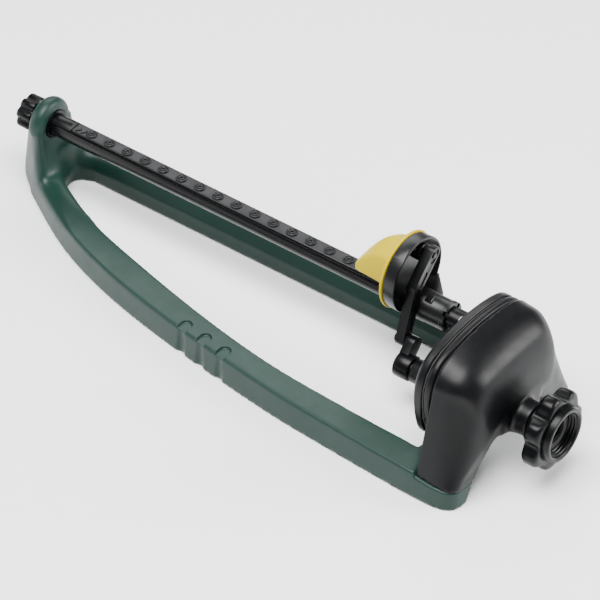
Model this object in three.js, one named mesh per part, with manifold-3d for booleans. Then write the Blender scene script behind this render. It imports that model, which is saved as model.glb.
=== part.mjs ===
// Oscillating lawn sprinkler with a bow-shaped base, a turbine motor and a crank-driven spray tube.
// Millimetres. +X runs along the spray tube towards the hose, +Y to the straight back rail, +Z up.
// The origin is at the centre of the footprint, on the ground.
import * as THREE from 'three';
import { mergeVertices } from 'three/addons/utils/BufferGeometryUtils.js';
import Module from 'manifold-3d';

const wasm = await Module();
wasm.setup();

// ---- Driving dimensions ----
const GAP = 0.3; // left between pieces that touch
const FAR_X = -238; // the far end of the base
const LIP_X = 230.5; // the mouth of the hose coupling
const RAIL_Y = 67.8; // half the overall depth
const LEG_HEIGHT = 19;
const TUBE = { y: 34, z: 53, radius: 7.5, bore: 4, farX: -214.3, inletX: 166 };
const NOZZLES = { count: 15, pitch: 15, firstX: -170.5, flat: 5.6, halfWidth: 4.8 };
const BOSS = { x0: -213.5, x1: -201.5, radius: 17 };
const DIAL = { z: 73.7, radius: 26, backX: 81.2, floorX: 84.3, rimX: 93.1, pinY: 39, pinZ: 89 };
const HUB = { radius: 10.4, endX: 120.5 };
const CRANK = { y: 3, z: 28, pinY: 12.5, pinZ: 38.5, x0: 102.6, x1: 109 };
const LINK = {
  x0: 95, x1: 101.4, kinkY: 24, kinkZ: 73.5, halfWidth: 4.2, pinRadius: 2.2,
  slotHalf: 3.05, slotIn: 4.9, slotOut: 2.3,
};
const PLATE = { x0: 151, x1: 157.2 };
const SHELL = { x0: 158.6, beadX: 163.4, bodyX: 165, endX: 198, heelX: 193.5 };
const INLET = { y: 0, z: 38.3, neckRadius: 11.5, bore: 8, endX: LIP_X - 9.5 };
const FOOT = { frontZ: 16.2, endZ: 12.7, startX: 164.7, endX: 194.3 };

// ---- Colours ----
const plastic = (color, roughness) => new THREE.MeshStandardMaterial({ color, roughness, metalness: 0 });
const GREEN = plastic(0x2f5e4c, 0.45);
const BLACK = plastic(0x1c1f22, 0.4);
const SATIN_BLACK = plastic(0x26292d, 0.5);
const YELLOW = plastic(0xf4d21f, 0.35);
const WHITE = plastic(0xe6e4dc, 0.4);
const RUBBER = plastic(0x151515, 0.8);
const STEEL = new THREE.MeshStandardMaterial({ color: 0xb8bcc0, roughness: 0.3, metalness: 1 });

// ---- Geometry helpers ----
const group = new THREE.Group();

// A closed geometry as a solid that can be cut and joined.
function solid(geometry) {
  const bare = geometry.clone();
  bare.deleteAttribute('normal');
  bare.deleteAttribute('uv');
  const merged = mergeVertices(bare, 1e-4);
  const mesh = new wasm.Mesh({
    numProp: 3,
    vertProperties: new Float32Array(merged.attributes.position.array),
    triVerts: new Uint32Array(merged.index.array),
  });
  mesh.merge();
  return new wasm.Manifold(mesh);
}

function addPiece(name, body, material) {
  const mesh = body.getMesh();
  const geometry = new THREE.BufferGeometry();
  geometry.setAttribute('position', new THREE.BufferAttribute(new Float32Array(mesh.vertProperties), 3));
  geometry.setIndex(new THREE.BufferAttribute(new Uint32Array(mesh.triVerts), 1));
  geometry.computeVertexNormals();
  const piece = new THREE.Mesh(geometry, material);
  piece.name = name;
  group.add(piece);
}

const union = (bodies) => bodies.reduce((sum, body) => sum.add(body));
const cut = (body, tools) => tools.reduce((rest, tool) => rest.subtract(tool), body);
const shapeOf = (points) => new THREE.Shape(points.map(([x, y]) => new THREE.Vector2(x, y)));

const ALONG_X = new THREE.Matrix4().makeBasis(
  new THREE.Vector3(0, 1, 0), new THREE.Vector3(0, 0, 1), new THREE.Vector3(1, 0, 0));
const ALONG_Y = new THREE.Matrix4().makeBasis(
  new THREE.Vector3(1, 0, 0), new THREE.Vector3(0, 0, 1), new THREE.Vector3(0, -1, 0));

// A shape drawn in Y and Z, extruded from x0 to x1. A bevel stays inside that length.
function extrudeX(shape, x0, x1, bevel = 0, curveSegments = 8) {
  const geometry = new THREE.ExtrudeGeometry(shape, {
    depth: x1 - x0 - 2 * bevel, curveSegments, bevelEnabled: bevel > 0,
    bevelThickness: bevel, bevelSize: bevel, bevelOffset: -bevel, bevelSegments: 2,
  });
  geometry.translate(0, 0, x0 + bevel).applyMatrix4(ALONG_X);
  return solid(geometry);
}

// A shape drawn in X and Z, extruded over both sides of the XZ plane.
function extrudeY(shape, halfWidth) {
  const geometry = new THREE.ExtrudeGeometry(shape, {
    depth: 2 * halfWidth, curveSegments: 8, bevelEnabled: false });
  geometry.translate(0, 0, -halfWidth).applyMatrix4(ALONG_Y);
  return solid(geometry);
}

// A body of revolution about a line along X. The profile lists [x, radius].
function latheX(profile, y, z, segments = 24) {
  const geometry = new THREE.LatheGeometry(profile.map(([x, r]) => new THREE.Vector2(r, x)), segments);
  geometry.rotateZ(-Math.PI / 2).translate(0, y, z);
  const body = solid(geometry);
  return body.volume() > 0 ? body : solid(flipped(geometry));
}

function flipped(geometry) {
  const copy = geometry.clone();
  const index = copy.index.array;
  for (let i = 0; i < index.length; i += 3) {
    [index[i + 1], index[i + 2]] = [index[i + 2], index[i + 1]];
  }
  return copy;
}

const rod = (x0, x1, radius, y, z, segments = 24) =>
  latheX([[x0, 0], [x0, radius], [x1, radius], [x1, 0]], y, z, segments);
const ring = (x0, x1, inner, outer, y, z, segments = 24) =>
  latheX([[x0, inner], [x0, outer], [x1, outer], [x1, inner], [x0, inner]], y, z, segments);

function box(x0, x1, y0, y1, z0, z1) {
  const geometry = new THREE.BoxGeometry(x1 - x0, y1 - y0, z1 - z0);
  return solid(geometry.translate((x0 + x1) / 2, (y0 + y1) / 2, (z0 + z1) / 2));
}

// A closed body through a stack of outlines, each a list of [x, y] at its own height.
function stack(levels) {
  const count = levels[0].points.length;
  const positions = levels.flatMap(({ z, points }) => points.flatMap(([x, y]) => [x, y, z]));
  const index = [];
  for (let level = 0; level + 1 < levels.length; level += 1) {
    for (let i = 0; i < count; i += 1) {
      const a = level * count + i;
      const b = level * count + ((i + 1) % count);
      index.push(a, b, b + count, a, b + count, a + count);
    }
  }
  const capOf = (points) => THREE.ShapeUtils.triangulateShape(
    points.map(([x, y]) => new THREE.Vector2(x, y)), []);
  const last = (levels.length - 1) * count;
  capOf(levels[0].points).forEach(([a, b, c]) => index.push(a, c, b));
  capOf(levels[levels.length - 1].points).forEach(([a, b, c]) => index.push(last + a, last + b, last + c));
  const geometry = new THREE.BufferGeometry();
  geometry.setAttribute('position', new THREE.Float32BufferAttribute(positions, 3));
  geometry.setIndex(index);
  return solid(geometry);
}

// An outline of evenly spaced points on the curve through a few [x, y] points.
const smooth = (points, divisions) => new THREE.CatmullRomCurve3(
  points.map(([x, y]) => new THREE.Vector3(x, y, 0)), false, 'centripetal')
  .getSpacedPoints(divisions).map((p) => [p.x, p.y]);

// An outline moved inwards by a distance, for outlines that run anticlockwise.
function inset(points, distance) {
  return points.map((point, i) => {
    const before = points[(i + points.length - 1) % points.length];
    const after = points[(i + 1) % points.length];
    const a = new THREE.Vector2(point[0] - before[0], point[1] - before[1]).normalize();
    const b = new THREE.Vector2(after[0] - point[0], after[1] - point[1]).normalize();
    const normal = new THREE.Vector2(-a.y - b.y, a.x + b.x).normalize();
    const reach = distance / Math.max(0.4, normal.dot(new THREE.Vector2(-a.y, a.x)));
    return [point[0] + normal.x * reach, point[1] + normal.y * reach];
  });
}

// ---- Base ----
const PLUG = { x0: -226.5, x1: TUBE.farX - GAP, radius: 12.4, lobes: 8 };
const GRIPS = { spots: [[-31.5, -44], [-14, -46.5], [3.5, -49]], radius: 4, depth: 2.2, wallDepth: 1.5 };
const FRONT_EDGE = smooth([
  [159, -67.8], [100, -64.5], [43, -60], [-38, -48], [-104, -33.5], [-156, -14.5], [-204, 13],
], 16);
const frontEdgeAt = (x) => {
  const next = FRONT_EDGE.findIndex((point) => point[0] < x);
  const [[x1, y1], [x0, y0]] = [FRONT_EDGE[next - 1], FRONT_EDGE[next]];
  return y0 + ((y1 - y0) * (x - x0)) / (x1 - x0);
};
const OUTLINE = [
  [FOOT.endX, -42], [FOOT.endX, -52], [193, -60.5], [187, -65.8], [177, -RAIL_Y],
  ...FRONT_EDGE,
  [-216, 22], [-229, 33], [-236, 43], [FAR_X, 53], [-234, 62], [-224, RAIL_Y],
  [177, RAIL_Y], [187, 65.8], [193, 60.5], [FOOT.endX, 52], [FOOT.endX, 42], [166, 40], [166, -40],
].reverse();
const OPENING_FRONT = smooth([
  [153, -45], [92, -43], [29, -38.5], [-40, -26], [-119, -6], [-147, 4], [-180, 22],
], 13);
const OPENING = [
  ...OPENING_FRONT, [-191, 30], [-197, 40], [-195, 49], [-186, 53], [153, 53],
].reverse();

// The top edge of the legs, drawn in further where the far end leans inwards.
const topEdge = (depth) => inset(OUTLINE, depth).map(([x, y]) => (
  x < -200 ? [x + (-200 - x) * 0.14 * (depth / 2.5), y] : [x, y]));

// The opening widens upwards at the back rail and at the far end.
const widened = (amount) => OPENING.map(([x, y]) => [
  x < -181 ? x - 0.6 * amount : x,
  y > 45 ? y + amount : y,
]);

// The riser starts as the far end of the legs and narrows to the tube's bearing boss.
// Each row: ground x and y, boss x and y, and how quickly that line runs in.
const RISER_LINES = [
  [-184, 4, -201.5, 19, 2.4], [-204, 13, -203, 17.5, 0.8], [-216, 22, -205, 17, 0.7],
  [-229, 33, -208, 17, 0.6], [-236, 43, -211, 19, 0.6], [FAR_X, 53, -211.5, 34, 0.6],
  [-234, 62, -211, 49, 0.6], [-224, RAIL_Y, -208, 51, 0.7], [-196, RAIL_Y, -204, 51, 1.2],
  [-178, 58, -201.5, 49, 2.4], [-186, 44, -201.5, 34, 2.6], [-184, 26, -201.5, 26, 2.4],
];

function riser() {
  const heights = [0, 10, LEG_HEIGHT, 27, 35, 43, 51, 58];
  const rise = BOSS.radius + TUBE.z - 15;
  return stack(heights.map((z) => ({
    z,
    points: RISER_LINES.map(([x, y, bossX, bossY, ease]) => {
      const left = Math.max(0, 1 - z / rise) ** ease;
      const narrow = z > TUBE.z ? 0.85 : 1;
      return [bossX + (x - bossX) * left, TUBE.y + (bossY + (y - bossY) * left - TUBE.y) * narrow];
    }).reverse(),
  })));
}

function baseFrame() {
  const legs = stack([
    { z: 0, points: OUTLINE },
    { z: LEG_HEIGHT - 2, points: topEdge(1) },
    { z: LEG_HEIGHT, points: topEdge(2.5) },
  ]);
  const opening = stack([
    { z: -1, points: OPENING },
    { z: 11, points: OPENING },
    { z: LEG_HEIGHT + 12, points: widened(12) },
  ]);
  const boss = latheX([
    [BOSS.x0, 0], [BOSS.x0, BOSS.radius - 3.5], [BOSS.x0 + 1.2, BOSS.radius - 1.2],
    [BOSS.x0 + 4, BOSS.radius], [BOSS.x1 - 4, BOSS.radius],
    [BOSS.x1 - 1.2, BOSS.radius - 1.2], [BOSS.x1, BOSS.radius - 3.5], [BOSS.x1, 0],
  ], TUBE.y, TUBE.z, 32);
  const seat = extrudeY(shapeOf([
    [FOOT.startX, FOOT.frontZ], [FOOT.endX + 4, FOOT.endZ - 0.4], [FOOT.endX + 4, 30], [FOOT.startX, 30],
  ]), 80);
  const underside = stack([
    { z: -1, points: inset(OUTLINE, 3) },
    { z: 9, points: inset(OUTLINE, 3.4) },
  ]).subtract(stack([{ z: -2, points: inset(OPENING, -3) }, { z: 12, points: inset(OPENING, -3) }]));
  const bushHole = rod(BOSS.x0 - 5, BOSS.x1 + 5, 10.2, TUBE.y, TUBE.z);
  const plugPocket = rod(FAR_X - 5, BOSS.x0, PLUG.radius + 0.8, TUBE.y, TUBE.z);
  const grips = GRIPS.spots.flatMap(([x, y]) => [
    upright(x, y, LEG_HEIGHT - GRIPS.depth, 30, GRIPS.radius, 24),
    box(x - GRIPS.radius, x + GRIPS.radius, -75, y, LEG_HEIGHT - GRIPS.depth, 30),
    upright(x, frontEdgeAt(x) + GRIPS.wallDepth - GRIPS.radius - 1, -1, 30, GRIPS.radius + 1, 24),
  ]);
  return cut(union([cut(legs, [opening]), riser().subtract(opening), boss]), [
    seat, box(150, 200, -40, 40, FOOT.frontZ, 40), underside, bushHole, plugPocket,
    ...grips, ...baseScrewHoles(2.2),
  ]);
}

// Screws from below hold the housing's feet on the base.
const BASE_SCREWS = [[180, -54], [180, 54]];
const baseScrewHoles = (radius) => BASE_SCREWS.map(([x, y]) => upright(x, y, -5, 40, radius));

function upright(x, y, z0, z1, radius, segments = 12) {
  const geometry = new THREE.CylinderGeometry(radius, radius, z1 - z0, segments);
  return solid(geometry.rotateX(Math.PI / 2).translate(x, y, (z0 + z1) / 2));
}

addPiece('base_frame', baseFrame(), GREEN);
addPiece('end_bearing_bush',
  ring(BOSS.x0 - 0.4, BOSS.x1 + 0.8, TUBE.radius + 0.35, 9.9, TUBE.y, TUBE.z), BLACK);

// ---- Motor housing ----
const HALF_PLATE = [
  [0, 94], [17, 93], [32, 90], [41, 86], [47, 79.5], [50.3, 71], [50.8, 60], [49, 46], [45, 34], [38, 26],
  [30, 19.4], [20, 17.6],
];
const symmetric = (half) => [
  ...half, ...half.slice(half[0][0] === 0 ? 1 : 0).reverse().map(([y, z]) => [-y, z])];
const plateShape = (margin) => shapeOf(inset(symmetric(HALF_PLATE).reverse(), margin));
const PLATE_SCREWS = [[-43, 67], [0, 88.5], [43, 67], [-36, 31], [36, 31]];

function housingBackPlate() {
  const shaftSleeve = rod(CRANK.x1 + 6.3, PLATE.x0 + 2, 8, CRANK.y, CRANK.z);
  const tubeBoss = rod(PLATE.x0 + 1, 166, 12.4, TUBE.y, TUBE.z);
  return cut(union([extrudeX(plateShape(0), PLATE.x0, PLATE.x1, 1.2), shaftSleeve, tubeBoss]), [
    rod(PLATE.x0 - 2, 168, 10.8, TUBE.y, TUBE.z),
    rod(CRANK.x1, PLATE.x1 + 2, 4.5, CRANK.y, CRANK.z),
    ...PLATE_SCREWS.map(([y, z]) => rod(PLATE.x0 - 2, PLATE.x1 + 2, 1.9, y, z, 12)),
  ]);
}

// The housing's outline at one X: its top, its half width below the shoulder and its half width at the feet.
const BODY_SECTIONS = [
  [SHELL.bodyX, 94.5, 51, 66], [176, 91, 50.5, 66], [184, 86.5, 48.5, 66], [189, 82, 46.5, 64.5],
  [193, 75, 44, 60.5], [195.5, 65, 40, 54], [SHELL.endX - 1, 57, 34, 46], [SHELL.endX, 52, 30, 40],
];
// The body's top corners tighten from the seam towards the hose.
const squareness = (x) => THREE.MathUtils.smoothstep(x, SHELL.bodyX, 188);
const bodyAt = ([x, top, half, foot], margin = 0) => {
  const square = squareness(x);
  return [x, inset(symmetric([
    [0, top], [(0.34 + 0.1 * square) * half, top - 1],
    [(0.64 + 0.07 * square) * half, top - 4 + 1.5 * square],
    [(0.82 + 0.05 * square) * half, top - 8.5 + 2.5 * square],
    [(0.94 + 0.02 * square) * half, top - 15 + 4 * square],
    [half, top - 24 + 4 * square], [foot, 8],
  ]).reverse(), margin)];
};

// The arch under the hose inlet, higher towards the hose.
const archAt = (x, margin = 0) => {
  const rise = THREE.MathUtils.clamp((x - 175) / 20, 0, 1);
  return [x, inset(symmetric([
    [10, 17 + 9 * rise], [26, 16.5 + 14 * rise], [35 - 5 * rise, 12 + 17 * rise],
    [40 - 5 * rise, 4 + 18 * rise], [41 + rise, 12 * rise], [41 + 8 * rise, -4],
  ]).reverse(), -margin)];
};

const ARCH_X = [150, SHELL.x0, 175, 195, 215];

// A closed body through outlines drawn in Y and Z at a few X positions.
function loftX(sections) {
  return stack(sections.map(([x, points]) => ({ z: x, points })))
    .transform([0, 1, 0, 0, 0, 0, 1, 0, 1, 0, 0, 0, 0, 0, 0, 1]);
}

function housingShell() {
  const arch = loftX(ARCH_X.map((x) => archAt(x)));
  const roof = loftX(ARCH_X.map((x) => archAt(x, 2.5)));
  const feetLevel = extrudeY(shapeOf([
    [140, -10], [220, -10], [220, FOOT.endZ - 2.4], [FOOT.endX, FOOT.endZ + 0.1],
    [FOOT.startX, FOOT.frontZ + 0.35], [140, 19.3],
  ]), 80);
  const inner = loftX([[155, bodyAt(BODY_SECTIONS[0], 4)[1]],
    ...BODY_SECTIONS.slice(0, 7).map((section) => {
      const [x, points] = bodyAt(section, 3);
      return [x - 3, points];
    })]);
  const heels = [[-80, -22], [22, 80]].map(([y0, y1]) => box(SHELL.heelX, 215, y0, y1, 0, 36));
  const heelWalls = [[-80, -19], [19, 80]].map(([y0, y1]) => box(SHELL.heelX - 3, 215, y0, y1, 0, 39));
  const cavity = cut(inner.intersect(extrudeX(plateShape(3), 150, 215)), [roof, ...heelWalls]);
  const pockets = [-1, 1].map((side) => cut(
    inner.intersect(box(SHELL.bodyX + 2, 190, side > 0 ? 36 : -75, side > 0 ? 75 : -36, 5, 60)), [roof]));
  return cut(union([
    extrudeX(plateShape(0), SHELL.x0, SHELL.beadX, 1),
    extrudeX(plateShape(1.6), SHELL.beadX - 1, SHELL.bodyX + 1),
    cut(loftX(BODY_SECTIONS.map((section) => bodyAt(section))), [arch]),
    rod(190, INLET.endX - 13, INLET.neckRadius, INLET.y, INLET.z),
    rod(INLET.endX - 14, INLET.endX, 9.6, INLET.y, INLET.z),
    rod(INLET.endX - 3.5, INLET.endX, 11, INLET.y, INLET.z),
  ]), [
    cavity, ...pockets.map((pocket) => cut(pocket, BASE_SCREWS.map(([x, y]) => upright(x, y, 0, 60, 5)))),
    feetLevel, ...heels, rod(185, LIP_X, INLET.bore, INLET.y, INLET.z),
    ...PLATE_SCREWS.map(([y, z]) => rod(SHELL.x0 - 1, SHELL.x0 + 8, 1.5, y, z, 12)),
    ...baseScrewHoles(1.5),
  ]);
}

addPiece('housing_shell', housingShell(), BLACK);
addPiece('housing_back_plate', housingBackPlate(), BLACK);
addPiece('housing_gasket', cut(extrudeX(plateShape(0.8), PLATE.x1 + GAP, SHELL.x0 - GAP), [
  extrudeX(plateShape(3), PLATE.x1 - 1, SHELL.x0 + 1),
  ...PLATE_SCREWS.map(([y, z]) => rod(PLATE.x1 - 1, SHELL.x0 + 1, 1.9, y, z, 12)),
]), RUBBER);
PLATE_SCREWS.forEach(([y, z], i) => addPiece(`plate_screw_${i + 1}`, latheX([
  [PLATE.x0 - 2.2, 0], [PLATE.x0 - 2.2, 2.2], [PLATE.x0 - 1.5, 3.2],
  [PLATE.x0 - GAP, 3.2], [PLATE.x0 - GAP, 1.3],
  [SHELL.x0 + 7, 1.3], [SHELL.x0 + 7.6, 0],
], y, z, 12), STEEL));
BASE_SCREWS.forEach(([x, y], i) => addPiece(`base_screw_${i + 1}`, union([
  upright(x, y, 5.5, 8.6, 3.6), upright(x, y, 7, 30, 1.3)]), STEEL));
addPiece('tube_bearing', union([
  ring(PLATE.x0 - 0.8, 163, TUBE.radius + 0.35, 10.5, TUBE.y, TUBE.z),
  ring(PLATE.x0 - 1.8, PLATE.x0 - GAP, TUBE.radius + 0.35, 12.5, TUBE.y, TUBE.z),
]), WHITE);
addPiece('tube_seal', ring(163.3, 165.8, TUBE.radius + 0.35, 10.5, TUBE.y, TUBE.z), RUBBER);

// ---- Spray tube ----
const nozzleX = Array.from({ length: NOZZLES.count }, (_, i) => NOZZLES.firstX + i * NOZZLES.pitch);
const STRIP = { x0: NOZZLES.firstX - 13.5, x1: NOZZLES.firstX + 14 * NOZZLES.pitch + 13.5, thickness: 1.1 };
const tubeTop = TUBE.z + NOZZLES.flat;

function sprayTube() {
  const seat = tubeTop - STRIP.thickness - GAP;
  return cut(rod(TUBE.farX, TUBE.inletX, TUBE.radius, TUBE.y, TUBE.z), [
    rod(TUBE.farX - 1, TUBE.inletX + 1, TUBE.bore, TUBE.y, TUBE.z, 20),
    box(STRIP.x0 - 0.4, STRIP.x1 + 0.4, TUBE.y - 8, TUBE.y + 8, seat, 65),
    ...nozzleX.map((x) => upright(x, TUBE.y, TUBE.z, 65, 0.9, 6)),
  ]);
}

function nozzleStrip() {
  const strip = box(STRIP.x0, STRIP.x1, TUBE.y - NOZZLES.halfWidth, TUBE.y + NOZZLES.halfWidth,
    tubeTop - STRIP.thickness, tubeTop);
  const nozzle = (x) => {
    const profile = [[0, -0.5], [3.2, -0.5], [3.2, 0.6], [1.8, 1.3], [0, 1.3]];
    const geometry = new THREE.LatheGeometry(profile.map(([r, z]) => new THREE.Vector2(r, z)), 10);
    return solid(geometry.rotateX(Math.PI / 2).translate(x, TUBE.y, tubeTop));
  };
  return cut(union([strip, ...nozzleX.map(nozzle)]), nozzleX.map((x) => upright(x, TUBE.y, 50, 70, 0.6, 6)));
}

addPiece('spray_tube', sprayTube(), SATIN_BLACK);
addPiece('nozzle_strip', nozzleStrip(), BLACK);

// ---- Clean-out plug in the far end of the tube ----
// A round grip with rounded hollows round its edge.
function lobed(radius, depth, lobes, start = 0, steps = 4) {
  const count = lobes * steps;
  return Array.from({ length: count }, (_, i) => {
    const angle = (2 * Math.PI * i) / count;
    const reach = radius - depth * Math.abs(Math.cos((angle * lobes) / 2)) ** 4;
    return [reach * Math.cos(angle + start), reach * Math.sin(angle + start)];
  });
}
const placed = (points, y, z) => shapeOf(points.map(([a, b]) => [y + a, z + b]));

addPiece('clean_out_plug', union([
  extrudeX(placed(lobed(PLUG.radius, 2.6, PLUG.lobes), TUBE.y, TUBE.z), PLUG.x0, PLUG.x1, 1),
  rod(PLUG.x1 - 1, -205.5, 3.1, TUBE.y, TUBE.z, 16),
  rod(PLUG.x1 - 1, -212, 3.6, TUBE.y, TUBE.z, 16),
]).subtract(rod(-209, -202, 0.9, TUBE.y, TUBE.z, 10)), BLACK);
addPiece('plug_o_ring', ring(-211.4, -209.8, 3.25, 3.85, TUBE.y, TUBE.z, 16), RUBBER);
addPiece('cleaning_needle', rod(-208.7, -194, 0.5, TUBE.y, TUBE.z, 8), STEEL);

// ---- Range dial, with the cup that carries it and its collar on the tube ----
function dialCup() {
  const cup = latheX([
    [DIAL.floorX, 0], [DIAL.floorX, DIAL.radius - 0.6], [DIAL.rimX - 0.8, DIAL.radius],
    [DIAL.rimX, DIAL.radius - 0.8],
    [DIAL.rimX, DIAL.radius - 2.4], [DIAL.floorX + 2.4, DIAL.radius - 2.6], [DIAL.floorX + 2.4, 0],
  ], TUBE.y, DIAL.z, 36);
  const collar = rod(DIAL.floorX, HUB.endX, HUB.radius, TUBE.y, TUBE.z);
  const web = box(DIAL.floorX, HUB.endX - 14, TUBE.y - 3, TUBE.y + 3, TUBE.z + 8, DIAL.z - 6)
    .subtract(box(DIAL.rimX + 0.8, HUB.endX, TUBE.y - 5, TUBE.y + 5, TUBE.z + HUB.radius + 1.2, DIAL.z));
  const notches = [0, 1, 2, 3].map((i) => {
    const angle = Math.PI * (0.25 + 0.5 * i);
    return box(HUB.endX - 2.5, HUB.endX + 1, -1.6, 1.6, HUB.radius - 3.4, HUB.radius + 1)
      .rotate([(angle * 180) / Math.PI, 0, 0]).translate([0, TUBE.y, TUBE.z]);
  });
  return cut(union([cup, collar, web]), [
    rod(DIAL.floorX - 1, HUB.endX + 1, TUBE.radius + 0.3, TUBE.y, TUBE.z),
    ...notches,
  ]);
}

function rangeDial() {
  const rim = latheX([
    [DIAL.backX, 0], [DIAL.backX, DIAL.radius - 1], [DIAL.floorX - 1.6, DIAL.radius + 0.6],
    [DIAL.floorX - GAP, DIAL.radius + 0.4], [DIAL.floorX - GAP, 0],
  ], TUBE.y, DIAL.z, 36);
  const grip = loftX([
    [54.5, [[21, 66.5], [27, 65.5], [28, 70], [24, 71], [21, 70]]],
    [60, [[19, 66.5], [33, 64.5], [34, 75.5], [27, 79.7], [20, 76.5]]],
    [67, [[18, 67], [38, 64], [40, 82], [31, 88], [20, 83]]],
    [74, [[17, 67], [41, 64], [44, 86], [33, 93], [19, 88]]],
    [DIAL.floorX - 1.6, [[16, 65], [44, 64], [47, 88], [34, 97], [17, 89]]],
  ]);
  return cut(union([rim, grip]), [rod(50, DIAL.floorX + 1, TUBE.radius + 0.4, TUBE.y, TUBE.z)]);
}

addPiece('dial_cup', dialCup(), BLACK);
addPiece('range_dial', rangeDial(), YELLOW);
addPiece('dial_pin', latheX([
  [DIAL.floorX + 2.7, 0], [DIAL.floorX + 2.7, 6], [LINK.x0 - 1, 6], [LINK.x0 - 1, LINK.pinRadius],
  [LINK.x1 + 0.5, LINK.pinRadius], [LINK.x1 + 1.1, LINK.pinRadius - 0.6], [LINK.x1 + 1.1, 0],
], DIAL.pinY, DIAL.pinZ, 24), BLACK);

// ---- Drive link and crank ----
// A flat bar with round ends between two points in Y and Z.
function bar(x0, x1, [y0, z0], [y1, z1], radius) {
  const shape = new THREE.Shape();
  const angle = Math.atan2(z1 - z0, y1 - y0);
  shape.absarc(y1, z1, radius, angle - Math.PI / 2, angle + Math.PI / 2, false);
  shape.absarc(y0, z0, radius, angle + Math.PI / 2, angle + 1.5 * Math.PI, false);
  shape.closePath();
  return extrudeX(shape, x0, x1, 0, 10);
}

const crankPin = [CRANK.pinY, CRANK.pinZ];
const kink = [LINK.kinkY, LINK.kinkZ];
const slotAngle = Math.atan2(DIAL.pinZ - LINK.kinkZ, DIAL.pinY - LINK.kinkY);
// A point on the link's upper arm, measured from the dial pin.
const alongSlot = (distance) => [
  DIAL.pinY + distance * Math.cos(slotAngle), DIAL.pinZ + distance * Math.sin(slotAngle),
];

addPiece('drive_link', cut(union([
  bar(LINK.x0, LINK.x1, crankPin, kink, LINK.halfWidth),
  bar(LINK.x0, LINK.x1, kink, alongSlot(LINK.slotOut), LINK.slotHalf + 1.7),
]), [
  bar(LINK.x0 - 1, LINK.x1 + 1, alongSlot(-LINK.slotIn), alongSlot(LINK.slotOut), LINK.slotHalf),
  rod(LINK.x0 - 1, LINK.x1 + 1, LINK.pinRadius + 0.4, ...crankPin, 24),
]), BLACK);

addPiece('crank', cut(union([
  rod(CRANK.x0, CRANK.x1 + 5, 8.6, CRANK.y, CRANK.z),
  bar(CRANK.x0, CRANK.x1, [CRANK.y, CRANK.z], crankPin, 5.4),
  rod(LINK.x0 - 1.3, CRANK.x0 + 1, LINK.pinRadius, ...crankPin, 24),
  rod(LINK.x0 - 1.6, LINK.x0 - 0.5, LINK.pinRadius + 0.9, ...crankPin, 24),
]), [rod(CRANK.x0 + 2, CRANK.x1 + 6, 4.3, CRANK.y, CRANK.z)]), BLACK);

// ---- Motor: a turbine and its reduction gears ----
const MODULE = 0.9;
const PINION = 8;
const WHEEL = 26;
const OUTPUT = 14;
const pitchRadius = (teeth) => (teeth * MODULE) / 2;
const axleAt = ([y, z], teeth, degrees) => {
  const reach = pitchRadius(teeth) + pitchRadius(PINION);
  const angle = (degrees * Math.PI) / 180;
  return [y + reach * Math.cos(angle), z + reach * Math.sin(angle)];
};
const MESH_ANGLES = { second: 75, first: 95, turbine: 150 };
const outputAxis = [CRANK.y, CRANK.z];
const secondAxis = axleAt(outputAxis, OUTPUT, MESH_ANGLES.second);
const firstAxis = axleAt(secondAxis, WHEEL, MESH_ANGLES.first);
const turbineAxis = axleAt(firstAxis, WHEEL, MESH_ANGLES.turbine);
const GEAR_X = { output: [166, 170.4], second: [171.3, 175], first: [176.2, 179.8] };

// A spur gear with one tooth pointing along the given angle in degrees.
function gear(x0, x1, [y, z], teeth, degrees) {
  const radius = pitchRadius(teeth);
  const step = (2 * Math.PI) / teeth;
  const start = (degrees * Math.PI) / 180;
  const corners = [[-0.32, -1], [-0.13, 0.85], [0.13, 0.85], [0.32, -1]];
  const points = Array.from({ length: teeth }, (_, i) => corners.map(([turn, height]) => {
    const angle = start + step * (i + turn);
    const reach = radius + height * MODULE;
    return [y + reach * Math.cos(angle), z + reach * Math.sin(angle)];
  })).flat();
  return extrudeX(shapeOf(points), x0, x1);
}

// The meshing tooth gap faces back along the line between the two axes.
const gapTowards = (degrees, teeth) => degrees + 180 + 180 / teeth;

function compoundGear(pinionX, wheelX, axis, pinionAngle, wheelAngle) {
  const hubRadius = pitchRadius(PINION) - MODULE;
  return cut(union([
    gear(pinionX[0] + 0.4, pinionX[1] + 0.2, axis, PINION, pinionAngle),
    rod(pinionX[0] + 0.4, wheelX[1], hubRadius, ...axis, 16),
    gear(wheelX[0], wheelX[1], axis, WHEEL, wheelAngle),
  ]), [rod(pinionX[0] - 1, wheelX[1] + 1, 1.4, ...axis, 12)]);
}

addPiece('output_shaft', rod(CRANK.x0 + 2.3, GEAR_X.output[1] + 0.3, 4, ...outputAxis, 24), STEEL);
addPiece('output_gear', gear(...GEAR_X.output, outputAxis, OUTPUT, MESH_ANGLES.second)
  .subtract(rod(165, 172, 4.3, ...outputAxis, 24)), WHITE);
addPiece('shaft_seal', ring(PLATE.x1 + GAP, PLATE.x1 + 2, 4.5, 7, ...outputAxis, 24), RUBBER);
addPiece('second_gear', compoundGear(GEAR_X.output, GEAR_X.second, secondAxis,
  gapTowards(MESH_ANGLES.second, PINION), MESH_ANGLES.first), WHITE);
addPiece('first_gear', compoundGear(GEAR_X.second, GEAR_X.first, firstAxis,
  gapTowards(MESH_ANGLES.first, PINION), MESH_ANGLES.turbine), WHITE);
addPiece('second_gear_axle', rod(160.7, 183.2, 1.1, ...secondAxis, 12), STEEL);
addPiece('first_gear_axle', rod(160.7, 183.2, 1.1, ...firstAxis, 12), STEEL);

const CARRIER = { front: [160.4, 162], rear: [181.4, 183] };
const carrierShape = shapeOf([
  [-23, 64], [-23, 54], [-12, 27], [-8, 24], [14, 24], [18, 34], [18, 62], [12, 70], [-16, 73],
].reverse());

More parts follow.
